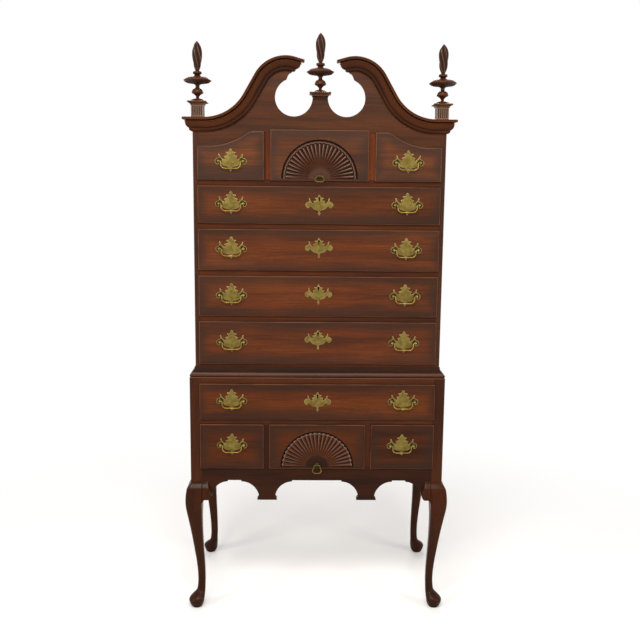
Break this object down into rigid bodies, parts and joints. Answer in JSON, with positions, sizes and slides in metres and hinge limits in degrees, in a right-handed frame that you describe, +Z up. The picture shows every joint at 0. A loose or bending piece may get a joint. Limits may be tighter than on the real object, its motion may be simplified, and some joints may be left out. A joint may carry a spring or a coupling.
{
  "type": "highboy chest of drawers",
  "caption": "Tall mahogany highboy in two cases on cabriole legs, with lipped drawers, carved fans, brass bail handles, a swan-neck pediment and flame finials.",
  "frame": {"origin": "on the floor, under the middle of the overall width and depth", "axes": "+X to the right seen from the front, +Y to the back, +Z up"},
  "size_m": [1.008, 0.6025, 2.1845],
  "materials": {
    "case_wood": "satin red-brown mahogany",
    "inner_wood": "plain unfinished poplar",
    "brass": "satin antique brass",
    "screw_steel": "dull"
  },
  "bodies": {
    "case": {"leg_front_left": "case_wood", "leg_front_right": "case_wood", "leg_back_left": "case_wood", "leg_back_right": "case_wood", "knee_brackets": "case_wood", "lower_case_sides": "case_wood", "lower_case_back": "inner_wood", "front_apron": "case_wood", "lower_case_rails": "case_wood", "drawer_runners": "inner_wood", "waist_moulding": "case_wood", "upper_case_sides": "case_wood", "upper_case_back": "inner_wood", "upper_case_boards": "case_wood", "upper_case_rails": "case_wood", "pediment_board": "case_wood", "cornice_mouldings": "case_wood", "finial_plinths": "case_wood", "finial_left": "case_wood", "finial_centre": "case_wood", "finial_right": "case_wood", "case_screws": "screw_steel"},
    "drawer_upper_long_1": {"drawer_upper_long_1": "case_wood", "brasses_upper_long_1": "brass"},
    "bail_upper_long_1_left": {"bail_upper_long_1_left": "brass"},
    "bail_upper_long_1_right": {"bail_upper_long_1_right": "brass"},
    "drawer_upper_long_2": {"drawer_upper_long_2": "case_wood", "brasses_upper_long_2": "brass"},
    "bail_upper_long_2_left": {"bail_upper_long_2_left": "brass"},
    "bail_upper_long_2_right": {"bail_upper_long_2_right": "brass"},
    "drawer_upper_long_3": {"drawer_upper_long_3": "case_wood", "brasses_upper_long_3": "brass"},
    "bail_upper_long_3_left": {"bail_upper_long_3_left": "brass"},
    "bail_upper_long_3_right": {"bail_upper_long_3_right": "brass"},
    "drawer_upper_long_4": {"drawer_upper_long_4": "case_wood", "brasses_upper_long_4": "brass"},
    "bail_upper_long_4_left": {"bail_upper_long_4_left": "brass"},
    "bail_upper_long_4_right": {"bail_upper_long_4_right": "brass"},
    "drawer_top_right": {"drawer_top_right": "case_wood", "brasses_top_right": "brass"},
    "bail_top_right": {"bail_top_right": "brass"},
    "drawer_top_centre": {"drawer_top_centre": "case_wood", "brasses_top_centre": "brass"},
    "bail_top_centre": {"bail_top_centre": "brass"},
    "drawer_lower_right": {"drawer_lower_right": "case_wood", "brasses_lower_right": "brass"},
    "bail_lower_right": {"bail_lower_right": "brass"},
    "drawer_lower_centre": {"drawer_lower_centre": "case_wood", "brasses_lower_centre": "brass"},
    "bail_lower_centre": {"bail_lower_centre": "brass"},
    "drawer_lower_long": {"drawer_lower_long": "case_wood", "brasses_lower_long": "brass"},
    "bail_lower_long_left": {"bail_lower_long_left": "brass"},
    "bail_lower_long_right": {"bail_lower_long_right": "brass"},
    "drawer_top_left": {"drawer_top_left": "case_wood", "brasses_top_left": "brass"},
    "bail_top_left": {"bail_top_left": "brass"},
    "drawer_lower_left": {"drawer_lower_left": "case_wood", "brasses_lower_left": "brass"},
    "bail_lower_left": {"bail_lower_left": "brass"}
  },
  "joints": [
    {"name": "upper_long_1_slide", "type": "slide", "parent": "case", "child": "drawer_upper_long_1", "axis": [0, -1, 0], "range_m": [0, 0.38]},
    {"name": "bail_upper_long_1_left_hinge", "type": "hinge", "parent": "drawer_upper_long_1", "child": "bail_upper_long_1_left", "pos_m": [-0.3235, -0.2595, 1.06115], "axis": [-1, 0, 0], "range_deg": [0, 95]},
    {"name": "bail_upper_long_1_right_hinge", "type": "hinge", "parent": "drawer_upper_long_1", "child": "bail_upper_long_1_right", "pos_m": [0.3235, -0.2595, 1.06115], "axis": [-1, 0, 0], "range_deg": [0, 95]},
    {"name": "upper_long_2_slide", "type": "slide", "parent": "case", "child": "drawer_upper_long_2", "axis": [0, -1, 0], "range_m": [0, 0.38]},
    {"name": "bail_upper_long_2_left_hinge", "type": "hinge", "parent": "drawer_upper_long_2", "child": "bail_upper_long_2_left", "pos_m": [-0.3235, -0.2595, 1.23855], "axis": [-1, 0, 0], "range_deg": [0, 95]},
    {"name": "bail_upper_long_2_right_hinge", "type": "hinge", "parent": "drawer_upper_long_2", "child": "bail_upper_long_2_right", "pos_m": [0.3235, -0.2595, 1.23855], "axis": [-1, 0, 0], "range_deg": [0, 95]},
    {"name": "upper_long_3_slide", "type": "slide", "parent": "case", "child": "drawer_upper_long_3", "axis": [0, -1, 0], "range_m": [0, 0.38]},
    {"name": "bail_upper_long_3_left_hinge", "type": "hinge", "parent": "drawer_upper_long_3", "child": "bail_upper_long_3_left", "pos_m": [-0.3235, -0.2595, 1.41095], "axis": [-1, 0, 0], "range_deg": [0, 95]},
    {"name": "bail_upper_long_3_right_hinge", "type": "hinge", "parent": "drawer_upper_long_3", "child": "bail_upper_long_3_right", "pos_m": [0.3235, -0.2595, 1.41095], "axis": [-1, 0, 0], "range_deg": [0, 95]},
    {"name": "upper_long_4_slide", "type": "slide", "parent": "case", "child": "drawer_upper_long_4", "axis": [0, -1, 0], "range_m": [0, 0.38]},
    {"name": "bail_upper_long_4_left_hinge", "type": "hinge", "parent": "drawer_upper_long_4", "child": "bail_upper_long_4_left", "pos_m": [-0.3235, -0.2595, 1.5761], "axis": [-1, 0, 0], "range_deg": [0, 95]},
    {"name": "bail_upper_long_4_right_hinge", "type": "hinge", "parent": "drawer_upper_long_4", "child": "bail_upper_long_4_right", "pos_m": [0.3235, -0.2595, 1.5761], "axis": [-1, 0, 0], "range_deg": [0, 95]},
    {"name": "top_right_slide", "type": "slide", "parent": "case", "child": "drawer_top_right", "axis": [0, -1, 0], "range_m": [0, 0.38]},
    {"name": "bail_top_right_hinge", "type": "hinge", "parent": "drawer_top_right", "child": "bail_top_right", "pos_m": [0.3235, -0.2595, 1.7292], "axis": [-1, 0, 0], "range_deg": [0, 95]},
    {"name": "top_centre_slide", "type": "slide", "parent": "case", "child": "drawer_top_centre", "axis": [0, -1, 0], "range_m": [0, 0.38]},
    {"name": "bail_top_centre_hinge", "type": "hinge", "parent": "drawer_top_centre", "child": "bail_top_centre", "pos_m": [0, -0.2595, 1.6784], "axis": [-1, 0, 0], "range_deg": [0, 95]},
    {"name": "lower_right_slide", "type": "slide", "parent": "case", "child": "drawer_lower_right", "axis": [0, -1, 0], "range_m": [0, 0.38]},
    {"name": "bail_lower_right_hinge", "type": "hinge", "parent": "drawer_lower_right", "child": "bail_lower_right", "pos_m": [0.3235, -0.2805, 0.6665], "axis": [-1, 0, 0], "range_deg": [0, 95]},
    {"name": "lower_centre_slide", "type": "slide", "parent": "case", "child": "drawer_lower_centre", "axis": [0, -1, 0], "range_m": [0, 0.38]},
    {"name": "bail_lower_centre_hinge", "type": "hinge", "parent": "drawer_lower_centre", "child": "bail_lower_centre", "pos_m": [0, -0.2805, 0.59], "axis": [-1, 0, 0], "range_deg": [0, 95]},
    {"name": "lower_long_slide", "type": "slide", "parent": "case", "child": "drawer_lower_long", "axis": [0, -1, 0], "range_m": [0, 0.38]},
    {"name": "bail_lower_long_left_hinge", "type": "hinge", "parent": "drawer_lower_long", "child": "bail_lower_long_left", "pos_m": [-0.3235, -0.2805, 0.8392], "axis": [-1, 0, 0], "range_deg": [0, 95]},
    {"name": "bail_lower_long_right_hinge", "type": "hinge", "parent": "drawer_lower_long", "child": "bail_lower_long_right", "pos_m": [0.3235, -0.2805, 0.8392], "axis": [-1, 0, 0], "range_deg": [0, 95]},
    {"name": "top_left_slide", "type": "slide", "parent": "case", "child": "drawer_top_left", "axis": [0, -1, 0], "range_m": [0, 0.38]},
    {"name": "bail_top_left_hinge", "type": "hinge", "parent": "drawer_top_left", "child": "bail_top_left", "pos_m": [-0.3235, -0.2595, 1.7292], "axis": [-1, 0, 0], "range_deg": [0, 95]},
    {"name": "lower_left_slide", "type": "slide", "parent": "case", "child": "drawer_lower_left", "axis": [0, -1, 0], "range_m": [0, 0.38]},
    {"name": "bail_lower_left_hinge", "type": "hinge", "parent": "drawer_lower_left", "child": "bail_lower_left", "pos_m": [-0.3235, -0.2805, 0.6665], "axis": [-1, 0, 0], "range_deg": [0, 95]}
  ]
}
